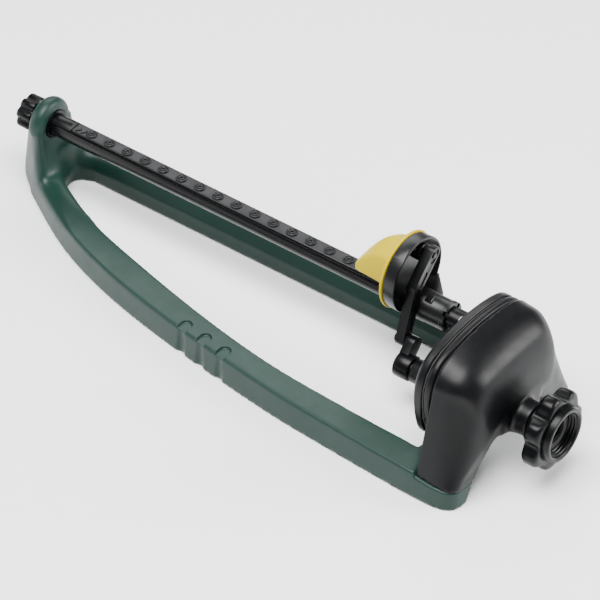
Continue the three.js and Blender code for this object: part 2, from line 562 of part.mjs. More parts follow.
addPiece('gear_plate_front', cut(extrudeX(carrierShape, ...CARRIER.front), [
  rod(150, 170, 8.2, ...outputAxis), rod(150, 170, 1.4, ...secondAxis, 12),
  rod(150, 170, 1.4, ...firstAxis, 12), rod(150, 170, 1.6, ...turbineAxis, 12),
]), WHITE);
const rearPlate = extrudeX(carrierShape, ...CARRIER.rear).subtract(box(180, 185, -30, 30, 20, 31));
addPiece('gear_plate_rear', cut(rearPlate, [
  rod(180, 190, 1.4, ...secondAxis, 12), rod(180, 190, 1.4, ...firstAxis, 12),
  rod(180, 190, 1.6, ...turbineAxis, 12),
]), WHITE);

const TURBINE = { x0: 184, x1: 189.6, radius: 11.6, blades: 10 };
function turbine() {
  const [y, z] = turbineAxis;
  const blades = Array.from({ length: TURBINE.blades }, (_, i) => box(
    TURBINE.x0, TURBINE.x1, -0.6, 0.6, 3, TURBINE.radius).rotate([(360 * i) / TURBINE.blades, 0, 0])
    .translate([0, y, z]));
  return cut(union([rod(TURBINE.x0, TURBINE.x1, 4, y, z, 20), ...blades]), [rod(180, 195, 1.5, y, z, 12)]);
}
addPiece('turbine', turbine(), WHITE);
addPiece('turbine_shaft', union([
  rod(160.7, 191.5, 1.2, ...turbineAxis, 12),
  gear(GEAR_X.first[0] + 0.2, GEAR_X.first[1], turbineAxis, PINION, gapTowards(MESH_ANGLES.turbine, PINION)),
]), STEEL);

// A duct that turns the water upwards against the turbine's blades.
addPiece('jet_nozzle', cut(union([
  box(184, 190.2, -22, 8, 31.6, 45), box(184.5, 189.5, -21, -14, 44, 47.3), box(190, 192.6, -8, 8, 31.6, 45),
]), [
  box(185.6, 188.8, -20.5, 6, 34, 43), box(186, 188, -19.5, -15.5, 42, 48),
  rod(187, 194, 4, INLET.y, INLET.z + 0.3, 20),
]), WHITE);

// ---- Hose coupling ----
const NUT = {
  x0: LIP_X - 16.7, lobeX: LIP_X - 4.5, lobes: 7, start: 0.39, radius: 27, thread: 14, pitch: 2.2,
};
const threadRings = [0, 1].flatMap((i) => {
  const x = LIP_X - 2.4 - i * NUT.pitch;
  return [[x, NUT.thread], [x - 0.8, NUT.thread - 0.9], [x - 1.4, NUT.thread]];
});
addPiece('hose_coupling', cut(union([
  extrudeX(placed(lobed(NUT.radius, 4.6, NUT.lobes, NUT.start), INLET.y, INLET.z), NUT.x0, NUT.lobeX, 1.6),
  latheX([[NUT.lobeX - 1, 0], [NUT.lobeX - 1, 18.8], [LIP_X - 0.8, 18.6], [LIP_X, 17.6], [LIP_X, 0]],
    INLET.y, INLET.z, 32),
]), [
  latheX([[LIP_X + 1, 0], [LIP_X + 1, NUT.thread + 1], [LIP_X - 0.6, NUT.thread + 0.4], ...threadRings,
    [INLET.endX - 3.9, NUT.thread], [INLET.endX - 3.9, 0]], INLET.y, INLET.z, 32),
  rod(NUT.x0 - 1, INLET.endX - 3, 10.1, INLET.y, INLET.z),
]), BLACK);
addPiece('hose_washer', ring(INLET.endX + GAP, INLET.endX + 2.6, 8.5, 12.7, INLET.y, INLET.z), RUBBER);

const FILTER_X = INLET.endX - 7;
const screenHoles = [0, 1, 2, 3, 4, 5].map((i) => {
  const angle = (Math.PI * i) / 3;
  return rod(FILTER_X - 1, FILTER_X + 3, 1.4,
    INLET.y + 4.6 * Math.cos(angle), INLET.z + 4.6 * Math.sin(angle), 10);
});
addPiece('inlet_filter', cut(rod(FILTER_X, FILTER_X + 1.4, 7.6, INLET.y, INLET.z, 24), [
  rod(FILTER_X - 1, FILTER_X + 3, 1.4, INLET.y, INLET.z, 10), ...screenHoles]), WHITE);

// The origin moves to the middle of the overall length.
group.position.x = -(FAR_X + LIP_X) / 2;

export default group;
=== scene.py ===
"""Looks of the oscillating sprinkler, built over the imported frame. Its shapes are given in millimetres."""
import math

import bmesh
import bpy
from mathutils import Matrix, Vector


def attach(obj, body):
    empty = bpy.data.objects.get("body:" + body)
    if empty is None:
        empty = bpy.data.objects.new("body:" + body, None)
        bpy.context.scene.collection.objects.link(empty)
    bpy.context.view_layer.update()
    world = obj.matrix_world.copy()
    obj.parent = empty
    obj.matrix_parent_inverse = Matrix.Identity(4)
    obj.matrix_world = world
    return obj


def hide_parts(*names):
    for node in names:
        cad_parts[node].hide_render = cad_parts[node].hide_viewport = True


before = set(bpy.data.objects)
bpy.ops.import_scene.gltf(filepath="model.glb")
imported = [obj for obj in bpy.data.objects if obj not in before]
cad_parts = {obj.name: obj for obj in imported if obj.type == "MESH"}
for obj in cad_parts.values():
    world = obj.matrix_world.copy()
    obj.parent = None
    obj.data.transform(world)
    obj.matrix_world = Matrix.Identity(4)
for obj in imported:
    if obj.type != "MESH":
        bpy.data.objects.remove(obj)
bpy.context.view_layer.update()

MM = 0.001
CENTRE_X = 3.75  # added to every X below, so that the object's box is centred

# ---- Driving dimensions ----
FAR_X, LIP_X, RAIL_Y, LEG_HEIGHT = -238.0, 230.5, 67.8, 19.0
TUBE_Y, TUBE_Z, TUBE_RADIUS, TUBE_BORE = 34.0, 53.0, 7.5, 4.0
TUBE_FAR_X, TUBE_INLET_X = -214.3, 166.0
NOZZLE_COUNT, NOZZLE_PITCH, NOZZLE_FIRST_X = 15, 15.0, -170.5
FLAT_TOP = TUBE_Z + 5.6
BOSS_X0, BOSS_X1, BOSS_RADIUS = -213.5, -201.5, 17.0
DIAL_Z, DIAL_RADIUS, DIAL_FLOOR_X, DIAL_RIM_X = 73.7, 26.0, 84.3, 93.1
FOOT_FRONT_Z, FOOT_END_Z, FOOT_START_X, FOOT_END_X = 16.2, 12.7, 164.7, 194.3
INLET_Z = 38.3
CRANK_Y, CRANK_Z = 3.0, 28.0
OUTSIDE = 80.0  # further out in Y than any part


# ---- Mesh helpers ----
def lerp(a, b, t):
    return a + (b - a) * t


def partway(a, b, t):
    """A point between two points."""
    return lerp(a[0], b[0], t), lerp(a[1], b[1], t)


def fade(value, start, end):
    """0 before start, 1 past end."""
    return max(0.0, min(1.0, (value - start) / (end - start)))


def catmull_rom(a, b, c, d, t):
    """One coordinate between b and c."""
    square = (2 * a - 5 * b + 4 * c - d) * t ** 2
    cube = (3 * b - a - 3 * c + d) * t ** 3
    return 0.5 * (2 * b + (c - a) * t + square + cube)


FINE_STEPS = 16


def spline(points, count, closed=False):
    """Evenly spaced points on a Catmull-Rom curve through tuples of any size."""
    last = len(points)
    spans = last if closed else last - 1
    fine = []
    for i in range(spans):
        if closed:
            p = [points[(i + k - 1) % last] for k in range(4)]
        else:
            p = [points[max(0, min(last - 1, i + k - 1))] for k in range(4)]
        for step in range(FINE_STEPS):
            fine.append(tuple(catmull_rom(*quad, step / FINE_STEPS) for quad in zip(*p)))
    if closed:
        fine.append(fine[0])
    else:
        fine.append(tuple(points[-1]))
    reach = [0.0]
    for a, b in zip(fine, fine[1:]):
        reach.append(reach[-1] + math.dist(a[:3], b[:3]))
    result = []
    at = 0
    for i in range(count if closed else count + 1):
        target = reach[-1] * i / count
        while at + 2 < len(reach) and reach[at + 1] < target:
            at += 1
        t = (target - reach[at]) / max(1e-9, reach[at + 1] - reach[at])
        result.append(tuple(lerp(a, b, t) for a, b in zip(fine[at], fine[at + 1])))
    return result


def inset(points, distance):
    """A closed anticlockwise outline moved inwards."""
    result = []
    for i, (x, y) in enumerate(points):
        before = Vector(points[i - 1])
        after = Vector(points[(i + 1) % len(points)])
        here = Vector((x, y))
        a = (here - before).normalized()
        b = (after - here).normalized()
        normal = Vector((-a.y - b.y, a.x + b.x)).normalized()
        reach = distance / max(0.4, normal.dot(Vector((-a.y, a.x))))
        result.append((x + normal.x * reach, y + normal.y * reach))
    return result


def mirrored(half):
    """The whole outline from its half at positive Y."""
    return (half + [(-y, z) for y, z in reversed(half)])[::-1]


def arc(x, y, radius, count, start=0.0, turn=2 * math.pi):
    """Points on an arc; a whole turn doesn't repeat its first one."""
    return [(x + radius * math.cos(start + turn * i / count), y + radius * math.sin(start + turn * i / count))
            for i in range(count if turn == 2 * math.pi else count + 1)]


def placed(name, data):
    """A new object in the scene."""
    obj = bpy.data.objects.new(name, data)
    bpy.context.scene.collection.objects.link(obj)
    return obj


def obj_from(name, verts, faces):
    """A mesh object, in metres, from points in millimetres."""
    mesh = bpy.data.meshes.new(name)
    mesh.from_pydata([((x + CENTRE_X) * MM, y * MM, z * MM) for x, y, z in verts], [], faces)
    mesh.validate()
    obj = placed(name, mesh)
    outward(obj)
    return obj


def outward(obj):
    """Turns all face normals outwards."""
    bm = bmesh.new()
    bm.from_mesh(obj.data)
    bmesh.ops.recalc_face_normals(bm, faces=bm.faces)
    bm.to_mesh(obj.data)
    bm.free()


def loft(name, rings, ring_shaped=False):
    """A closed body through rings of equally many points; a ring-shaped one joins last to first."""
    count = len(rings[0])
    verts = [p for ring in rings for p in ring]
    faces = []
    for r in range(len(rings) if ring_shaped else len(rings) - 1):
        here = r * count
        above = (r + 1) % len(rings) * count
        for i in range(count):
            after = (i + 1) % count
            faces.append((here + i, here + after, above + after, above + i))
    if not ring_shaped:
        faces.append(tuple(range(count)))
        faces.append(tuple(range(len(verts) - count, len(verts))))
    return obj_from(name, verts, faces)


def stack(name, levels):
    """A loft upwards; each level is a height and its outline in X and Y."""
    return loft(name, [[(x, y, z) for x, y in points] for z, points in levels])


def loft_x(name, sections):
    """A loft along X; each section is an X and its outline in Y and Z."""
    return loft(name, [[(x, y, z) for y, z in points] for x, points in sections])


def loft_y(name, outline, y0, y1):
    """An outline in X and Z, carried from one Y to another."""
    return loft(name, [[(x, y, z) for x, z in outline] for y in (y0, y1)])


AXIS_RADIUS = 0.01  # a turned body's radius where it meets its own axis
HOLLOW_SHARPNESS = 3.2


def turned(name, profile, y, z, segments=96, hollows=0):
    """A body of revolution about a line along X; each row is x, radius and the depth of its edge hollows."""
    ring_shaped = profile[0][1] >= AXIS_RADIUS
    rings = []
    for x, radius, *depth in profile:
        ring = []
        for i in range(segments):
            angle = 2 * math.pi * i / segments
            hollow = depth[0] * abs(math.cos(angle * hollows / 2)) ** HOLLOW_SHARPNESS if depth else 0.0
            reach = max(radius, AXIS_RADIUS) - hollow
            ring.append((x, y + reach * math.cos(angle), z + reach * math.sin(angle)))
        rings.append(ring)
    return loft(name, rings, ring_shaped)


def round_tool(name, x0, x1, radius, y, z, segments=48):
    """A cylinder along X."""
    return turned(name, [(x0, 0), (x0, radius), (x1, radius), (x1, 0)], y, z, segments)


def post(name, x, y, z0, z1, radius, segments=32):
    """An upright round tool."""
    ring = arc(x, y, radius, segments)
    return stack(name, [(z0, ring), (z1, ring)])


def block(name, x, y, z):
    """A tool with flat sides from pairs of limits."""
    ring = [(x[0], y[0]), (x[1], y[0]), (x[1], y[1]), (x[0], y[1])]
    return stack(name, [(z[0], ring), (z[1], ring)])


def settle(obj):
    """Applies the modifiers of a new piece."""
    depsgraph = bpy.context.evaluated_depsgraph_get()
    mesh = bpy.data.meshes.new_from_object(obj.evaluated_get(depsgraph))
    obj.modifiers.clear()
    obj.data = mesh
    return obj


def combine(obj, tools, operation):
    """Joins, cuts or limits a piece with its tools, which are used up."""
    for tool in tools:
        modifier = obj.modifiers.new("combine", "BOOLEAN")
        modifier.operation = operation
        modifier.solver = "EXACT"
        modifier.object = tool
        settle(obj)
        bpy.data.objects.remove(tool, do_unlink=True)
    return obj


def subtract(obj, tools):
    return combine(obj, tools, "DIFFERENCE")


def join(name, objects):
    """Several shells as one piece."""
    verts, faces = [], []
    for obj in objects:
        start = len(verts)
        verts += [tuple(v.co) for v in obj.data.vertices]
        faces += [tuple(start + i for i in p.vertices) for p in obj.data.polygons]
        bpy.data.objects.remove(obj, do_unlink=True)
    mesh = bpy.data.meshes.new(name)
    mesh.from_pydata(verts, [], faces)
    return placed(name, mesh)


def moulded(obj, voxel, rounds, factor=0.5):
    """Melts the shells of a piece into one skin with rounded edges."""
    remesh = obj.modifiers.new("skin", "REMESH")
    remesh.mode = "VOXEL"
    remesh.voxel_size = voxel * MM
    smooth = obj.modifiers.new("round", "SMOOTH")
    smooth.factor = factor
    smooth.iterations = rounds
    settle(obj)
    obj.data.polygons.foreach_set("use_smooth", [True] * len(obj.data.polygons))
    return obj


def soften(obj, width, angle=40, segments=2):
    """Rounded edges on a piece or a CAD node."""
    bevel = obj.modifiers.new("edge", "BEVEL")
    bevel.width = width * MM
    bevel.segments = segments
    bevel.limit_method = "ANGLE"
    bevel.angle_limit = math.radians(angle)
    bevel.harden_normals = False
    return obj


def shade(obj, angle=40):
    """Smooth shading across the gentle edges only."""
    chosen = {"object": obj, "active_object": obj}
    chosen.update({"selected_objects": [obj], "selected_editable_objects": [obj]})
    with bpy.context.temp_override(**chosen):
        bpy.ops.object.shade_auto_smooth(angle=math.radians(angle))
    return obj


def sweep(obj, weight, rounds):
    """Melts part of a skin into one smooth sweep; weight(x, z) says where."""
    group = obj.vertex_groups.new(name="sweep")
    for v in obj.data.vertices:
        amount = weight(v.co.x / MM - CENTRE_X, v.co.z / MM)
        if amount > 0.01:
            group.add([v.index], amount, "REPLACE")
    smooth = obj.modifiers.new("sweep", "SMOOTH")
    smooth.vertex_group = "sweep"
    smooth.factor = 0.6
    smooth.iterations = rounds
    settle(obj)
    obj.vertex_groups.clear()


# ---- Camera ----
CAMERA_AT = Vector((1257.456 + CENTRE_X, -1649.993, 1770.104)) * MM
FORWARD = Vector((-0.45783, 0.61387, -0.64308)).normalized()
ROLL = math.radians(0.8)
LENS, SENSOR, CLIP_END = 255.3, 36.0, 20


def add_camera():
    data = bpy.data.cameras.new("camera")
    data.lens = LENS
    data.sensor_width = SENSOR
    data.clip_end = CLIP_END
    camera = placed("camera", data)
    level = FORWARD.cross(Vector((0, 0, 1))).normalized()
    upright = level.cross(FORWARD)
    right = level * math.cos(ROLL) + upright * math.sin(ROLL)
    up = right.cross(FORWARD)
    rotation = Matrix((right, up, -FORWARD)).transposed()
    camera.matrix_world = Matrix.Translation(CAMERA_AT) @ rotation.to_4x4()
    bpy.context.scene.camera = camera


add_camera()


# ---- Materials ----
NOISE_LOW, NOISE_HIGH = 0.3, 0.7  # most of a noise's values lie between these


class Shader:
    """A node material with a few shorthands."""

    def __init__(self, name, color, roughness, metallic=0.0, specular=0.5):
        self.material = bpy.data.materials.new(name)
        self.material.use_nodes = True
        self.tree = self.material.node_tree
        self.bsdf = self.tree.nodes["Principled BSDF"]
        self.bsdf.inputs["Base Color"].default_value = (*color, 1)
        self.bsdf.inputs["Roughness"].default_value = roughness
        self.bsdf.inputs["Metallic"].default_value = metallic
        self.bsdf.inputs["Specular IOR Level"].default_value = specular
        self.place = self.tree.nodes.new("ShaderNodeTexCoord").outputs["Object"]
        self.normal = None

    def link(self, a, b):
        self.tree.links.new(a, b)

    def node(self, kind, values):
        """A new node with its sockets set."""
        node = self.tree.nodes.new(kind)
        for socket, value in values.items():
            node.inputs[socket].default_value = value
        return node

    def noise(self, scale, detail=3.0, rough=0.55, stretch=None):
        node = self.node("ShaderNodeTexNoise", {"Scale": scale, "Detail": detail, "Roughness": rough})
        source = self.place
        if stretch:
            mapping = self.node("ShaderNodeMapping", {"Scale": stretch})
            self.link(self.place, mapping.inputs["Vector"])
            source = mapping.outputs["Vector"]
        self.link(source, node.inputs["Vector"])
        return node.outputs["Fac"]

    def remap(self, value, low, high):
        limits = {"From Min": NOISE_LOW, "From Max": NOISE_HIGH, "To Min": low, "To Max": high}
        node = self.node("ShaderNodeMapRange", limits)
        self.link(value, node.inputs["Value"])
        return node.outputs["Result"]

    def tint(self, value, dark, light):
        ramp = self.tree.nodes.new("ShaderNodeValToRGB")
        ramp.color_ramp.elements[0].position = NOISE_LOW
        ramp.color_ramp.elements[1].position = NOISE_HIGH
        ramp.color_ramp.elements[0].color = (*dark, 1)
        ramp.color_ramp.elements[1].color = (*light, 1)
        self.link(value, ramp.inputs["Fac"])
        self.link(ramp.outputs["Color"], self.bsdf.inputs["Base Color"])

    def roughen(self, value, low, high):
        self.link(self.remap(value, low, high), self.bsdf.inputs["Roughness"])

    def bump(self, value, strength, distance):
        node = self.node("ShaderNodeBump", {"Strength": strength, "Distance": distance})
        self.link(value, node.inputs["Height"])
        if self.normal:
            self.link(self.normal, node.inputs["Normal"])
        self.normal = node.outputs["Normal"]
        self.link(self.normal, self.bsdf.inputs["Normal"])


DRIFT_SCALE, MARKS_SCALE, WAVE_SCALE = 28, 70, 45  # per metre: colour drift, handling marks, mould waves
GRAIN_STRENGTH, WAVE_STRENGTH, WAVE_DEPTH = 0.55, 0.25, 0.12


def plastic(name, dark, light, rough, grain, depth, gloss=0.5):
    """Moulded plastic: broad colour drift, handling marks in the gloss and a fine grain.

    The grain is given by its scale per metre and its depth in millimetres.
    """
    shader = Shader(name, light, sum(rough) / 2, specular=gloss)
    shader.tint(shader.noise(DRIFT_SCALE, 4), dark, light)
    shader.roughen(shader.noise(MARKS_SCALE, 5, 0.7), *rough)
    shader.bump(shader.noise(grain, 2, 0.6), GRAIN_STRENGTH, depth * MM)
    shader.bump(shader.noise(WAVE_SCALE, 2), WAVE_STRENGTH, WAVE_DEPTH * MM)
    return shader.material


GREEN = plastic(
    "green_plastic", (0.0036, 0.0195, 0.0140), (0.0047, 0.0240, 0.0175),
    rough=(0.36, 0.46), grain=1500, depth=0.05, gloss=0.26)
HOUSING = plastic(
    "housing_black", (0.0012, 0.0013, 0.0017), (0.0018, 0.0020, 0.0025),
    rough=(0.32, 0.42), grain=1300, depth=0.055, gloss=0.2)
BLACK = plastic(
    "smooth_black", (0.0010, 0.0011, 0.0014), (0.0016, 0.0018, 0.0022),
    rough=(0.26, 0.36), grain=600, depth=0.012, gloss=0.17)
YELLOW = plastic(
    "yellow_plastic", (0.42, 0.315, 0.0), (0.47, 0.35, 0.0),
    rough=(0.36, 0.48), grain=500, depth=0.012, gloss=0.12)
CUP = plastic(
    "dial_black", (0.0012, 0.0013, 0.0016), (0.0020, 0.0022, 0.0026),
    rough=(0.30, 0.36), grain=400, depth=0.004, gloss=0.32)
NOZZLE = plastic(
    "nozzle_rubber", (0.0030, 0.0033, 0.0040), (0.0045, 0.0050, 0.0060),
    rough=(0.36, 0.48), grain=900, depth=0.03, gloss=0.3)
RUBBER = plastic(
    "seal_rubber", (0.006, 0.006, 0.006), (0.012, 0.012, 0.012),
    rough=(0.6, 0.8), grain=900, depth=0.03)
WHITE = plastic(
    "white_acetal", (0.72, 0.71, 0.66), (0.80, 0.79, 0.74),
    rough=(0.38, 0.5), grain=500, depth=0.01)


def turned_steel():
    shader = Shader("turned_steel", (0.55, 0.56, 0.58), 0.3, metallic=1.0)
    shader.tint(shader.noise(60, 4), (0.46, 0.47, 0.49), (0.60, 0.61, 0.63))
    marks = shader.noise(900, 3, 0.6, stretch=(1.0, 0.12, 0.12))
    shader.roughen(marks, 0.22, 0.38)
    shader.bump(marks, 0.3, 0.01 * MM)
    return shader.material


STEEL = turned_steel()


def finish_piece(obj, material, body, slot, *nodes):
    """Gives a finished piece its material and body, and hides the CAD nodes it replaces; the slot is not
    used.
    """
    obj.data.materials.clear()
    obj.data.materials.append(material)
    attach(obj, body)
    if nodes:
        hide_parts(*nodes)
    return obj


# ---- Base ----
FOOT_HALF = 42.0
TIP_X, CROSSPIECE_X, OPENING_END_X, OPENING_REAR_Y = -200.0, 166.0, 153.0, 53.0

FRONT_EDGE = [
    (159, -67.8), (100, -64.5), (43, -60), (-38, -48), (-104, -33.5), (-156, -14.5), (-204, 13),
    (-216, 22), (-229, 33), (-236, 43), (FAR_X, 53), (-234, 62), (-224, RAIL_Y),
]
OPENING_EDGE = [
    (OPENING_END_X, -45), (92, -43), (29, -38.5), (-40, -26), (-119, -6), (-147, 4), (-180, 22),
    (-191, 30), (-196.5, 40), (-195, 48), (-186, OPENING_REAR_Y),
]


def foot_corner():
    """The rounded corner at the hose end of the rear rail."""
    return spline([(FOOT_END_X, 46), (FOOT_END_X, 52), (193, 60.5), (187, 65.8), (177, RAIL_Y)], 16)


def base_outline():
    rear_foot = foot_corner()[::-1]
    front_foot = [(x, -y) for x, y in reversed(rear_foot)]
    inner = [(FOOT_END_X, FOOT_HALF), (CROSSPIECE_X, 40), (CROSSPIECE_X, -40)]
    return ([(FOOT_END_X, -FOOT_HALF)] + front_foot + spline(FRONT_EDGE, 120) + rear_foot + inner)[::-1]


def opening_outline():
    return (spline(OPENING_EDGE, 90) + [(OPENING_END_X, OPENING_REAR_Y)])[::-1]


# The riser's outline: X and Y on the ground, X and Y at the boss, and how soon it draws in.
RISER_LINES = [
    (-184, 4, -201.5, 19, 2.4), (-204, 13, -203, 17.5, 0.8), (-216, 22, -205, 17, 0.7),
    (-229, 33, -208, 17, 0.6), (-236, 43, -211, 19, 0.6), (FAR_X, 53, -211.5, 34, 0.6),
    (-234, 62, -211, 49, 0.6), (-224, RAIL_Y, -208, 51, 0.7), (-196, RAIL_Y, -204, 51, 1.2),
    (-178, 58, -201.5, 49, 2.4), (-186, 44, -201.5, 34, 2.6), (-184, 26, -201.5, 26, 2.4),
]
GRIPS = [(-31.5, -42), (-14, -44.5), (3.5, -47)]
GRIP_RADIUS = 4.0
BOSS_PROFILE = [
    (BOSS_X0, 0), (BOSS_X0, 11), (BOSS_X0 + 0.6, 13.6), (BOSS_X0 + 2, 15.6), (BOSS_X0 + 4, 16.7),
    (BOSS_X0 + 6, BOSS_RADIUS), (BOSS_X1 - 5, BOSS_RADIUS), (BOSS_X1 - 3, 16.6), (BOSS_X1 - 1.4, 15.4),
    (BOSS_X1 - 0.4, 13.4), (BOSS_X1, 11.6), (BOSS_X1, 0),
]
BUSH_RADIUS, PLUG_RECESS_RADIUS, FOOT_SCREW_RADIUS = 10.2, 13.2, 2.2
FOOT_SCREWS = [(180, -54), (180, 54)]
RISER_STEP, RISER_LEVELS = 2, 30
NARROWING = 0.85  # of the riser beside the tube and above it
TIP_DRAFT = 0.14
RIM_DEPTH, RIM_WIDTH = 9, 3  # of the hollow under the legs and the wall left round it


def riser():
    """The tower at the far end, from the base's tip up to the boss."""
    lines = spline(RISER_LINES, 72, closed=True)
    rise = BOSS_RADIUS + TUBE_Z - 15
    levels = []
    for step in range(RISER_LEVELS):
        z = RISER_STEP * step
        narrow = NARROWING if z > TUBE_Z else 1.0
        ring = []
        for x, y, boss_x, boss_y, ease in lines:
            left = max(0.0, 1 - z / rise) ** max(0.5, ease)
            ring_y = boss_y + (y - boss_y) * left
            ring.append((boss_x + (x - boss_x) * left, TUBE_Y + (ring_y - TUBE_Y) * narrow))
        levels.append((z, ring[::-1]))
    return stack("riser", levels)


def base_shape(outline, opening):
    """The base with sharp edges, before it is melted into one skin."""
    def top_edge(depth):
        return [(x + (TIP_X - x) * TIP_DRAFT * depth / 2.5 if x < TIP_X else x, y)
                for x, y in inset(outline, depth)]

    def widened(amount):
        return [(x - 0.6 * amount if x < -181 else x, y + amount if y > 45 else y) for x, y in opening]

    def hole():
        return stack("hole", [(-1, opening), (11, opening), (LEG_HEIGHT + 12, widened(12))])

    legs = stack("legs", [(0, outline), (LEG_HEIGHT - 1.2, top_edge(1)), (LEG_HEIGHT, top_edge(1.8))])
    legs = subtract(legs, [hole()])
    tower = subtract(riser(), [hole()])
    boss = turned("boss", BOSS_PROFILE, TUBE_Y, TUBE_Z)
    piece = combine(legs, [tower, boss], "UNION")
    seat_end_x = FOOT_END_X + 4
    seat = [(FOOT_START_X, FOOT_FRONT_Z), (seat_end_x, FOOT_END_Z - 0.4), (seat_end_x, 30),
            (FOOT_START_X, 30)]
    corner_z = FOOT_END_Z - 0.5
    lean = [(-52.4, -2), (-43.4, corner_z), (-FOOT_HALF, 15), (FOOT_HALF, 15), (43.4, corner_z), (52.4, -2)]
    tools = [loft_y("seat", seat, -OUTSIDE, OUTSIDE),
             block("bridge", (150, 200), (-40, 40), (FOOT_FRONT_Z, 40)),
             loft_x("lean", [(171, lean), (200, lean)])]
    front = [p for p in outline if p[1] < 0 and p[0] < 150]
    for x, _ in GRIPS:
        edge = min(front, key=lambda p: abs(p[0] - x))[1]
        tools.append(post("wall", x, edge - 3.4, -1, 30, GRIP_RADIUS + 1))
    return subtract(piece, tools)


def base_frame():
    outline = base_outline()
    opening = opening_outline()
    piece = base_shape(outline, opening)
    outward(piece)
    piece = moulded(piece, voxel=0.8, rounds=6)
    sweep(piece, lambda x, z: fade(x, -150, -180) * fade(z, 9, 16) * fade(z, 50, 38), rounds=220)
    rim = stack("rim", [(-1, inset(outline, RIM_WIDTH)), (RIM_DEPTH, inset(outline, RIM_WIDTH + 0.4))])
    kept = inset(opening, -RIM_WIDTH)
    rim = subtract(rim, [stack("keep", [(-2, kept), (RIM_DEPTH + 3, kept)])])
    hollows = [rim, round_tool("bush", BOSS_X0 - 5, BOSS_X1 + 5, BUSH_RADIUS, TUBE_Y, TUBE_Z, 64),
               round_tool("plug", FAR_X - 5, BOSS_X0, PLUG_RECESS_RADIUS, TUBE_Y, TUBE_Z, 64)]
    hollows += [post("screw", x, y, -5, 40, FOOT_SCREW_RADIUS) for x, y in FOOT_SCREWS]
    hollows += [grip_tool(x, y) for x, y in GRIPS]
    return shade(subtract(piece, hollows))


def grip_tool(x, y):
    """A finger hollow that runs in from the leg's outer edge, with sloping sides."""
    def ring(radius):
        return arc(x, y, radius, 20, turn=math.pi) + [(x - radius, -75), (x + radius, -75)]
    steps = [(-1.3, -0.9), (-1.0, -0.45), (-0.1, 0), (0.6, 0.8), (11, 0.8)]
    return stack("grip", [(LEG_HEIGHT + rise, ring(GRIP_RADIUS + grow)) for rise, grow in steps])


finish_piece(base_frame(), GREEN, "base", "green_plastic", "base_frame").name = "base_moulding"

# ---- Motor housing ----
HALF_PLATE = [
    (0, 94), (17, 93), (32, 90), (41, 86), (47, 79.5), (50.3, 71), (50.8, 60), (49, 46), (45, 34), (38, 26),
    (30, 19.4), (20, 17.6),
]
PLATE_X0, PLATE_X1 = 151.0, 157.2
SHELL_X0, BEAD_X, BODY_X, HEEL_X, SHELL_X1 = 158.6, 163.4, 165.0, 193.5, 198.0
PLATE_SCREWS = [(-43, 67), (0, 88.5), (43, 67), (-36, 31), (36, 31)]
SHAFT_BORE, TUBE_SEAT, INLET_BORE, NECK_RADIUS = 4.5, 10.8, 8.0, 11.5
SCREW_CLEARANCE, SCREW_PILOT = 1.9, 1.5
HOUSING_WALL = 3
MIDDLE_GAP = 0.3  # half outlines start this far from the middle, so that their ends don't meet


def plate_outline():
    half = spline([(-17, 93)] + HALF_PLATE + [(0, 17.2)], 60)
    return mirrored([p for p in half if p[0] > MIDDLE_GAP])


PLATE_OUTLINE = plate_outline()


def rounded_plate(name, rows):
    """The plate's outline along X; each row is an X and how far the edge is drawn in there."""
    return loft_x(name, [(x, inset(PLATE_OUTLINE, margin)) for x, margin in rows])


def back_plate():
    plate = rounded_plate("plate", [
        (PLATE_X0 + 0.9, 6), (PLATE_X0 + 0.9, 4.4), (PLATE_X0, 3.8), (PLATE_X0, 2.4),
        (PLATE_X0 + 0.25, 1.3), (PLATE_X0 + 0.9, 0.5), (PLATE_X0 + 1.8, 0.1), (PLATE_X0 + 2.6, 0),
        (PLATE_X1 - 0.6, 0), (PLATE_X1 - 0.1, 0.4), (PLATE_X1, 0.9)])
    sleeve = turned("sleeve", [(115.3, SHAFT_BORE), (115.3, 7.4), (115.9, 8), (146, 8), (149.5, 8.5),
                               (151.6, 10.6), (153, 11), (153, SHAFT_BORE)], CRANK_Y, CRANK_Z)
    boss = turned("boss", [(PLATE_X0 + 1, TUBE_SEAT), (PLATE_X0 + 1, 12.4), (166, 12.4), (166, TUBE_SEAT)],
                  TUBE_Y, TUBE_Z)
    collar = turned("collar", [(149.6, 12.9), (149.6, 14.4), (150.3, 15), (152, 15), (152, 12.9)],
                    TUBE_Y, TUBE_Z)
    tools = [round_tool("seat", 140, 168, TUBE_SEAT, TUBE_Y, TUBE_Z),
             round_tool("bore", 140, 160, SHAFT_BORE, CRANK_Y, CRANK_Z)]
    tools += [round_tool("screw", PLATE_X0 - 2, PLATE_X1 + 2, SCREW_CLEARANCE, y, z, 24)
              for y, z in PLATE_SCREWS]
    back = join("housing_back", [subtract(plate, tools), sleeve, boss, collar])
    return shade(soften(back, width=0.2), angle=35)


# The body's sections: X, the top's height, half the top's width and half the foot's width.
BODY_SECTIONS = [
    (BODY_X, 94.5, 51, 67.3), (176, 91, 50, 67.3), (184, 86.5, 46.5, 67.3), (189, 82, 44, 66.5),
    (191.5, 78, 43, 65), (193.5, 73, 42, 63), (195.5, 66, 39, 58), (SHELL_X1 - 1, 58, 34, 48),
    (SHELL_X1, 52, 30, 40),
]
ARCH_X = (150, 175, 180, 185, 190, 195, 215)
FOOT_RING_Z = 8


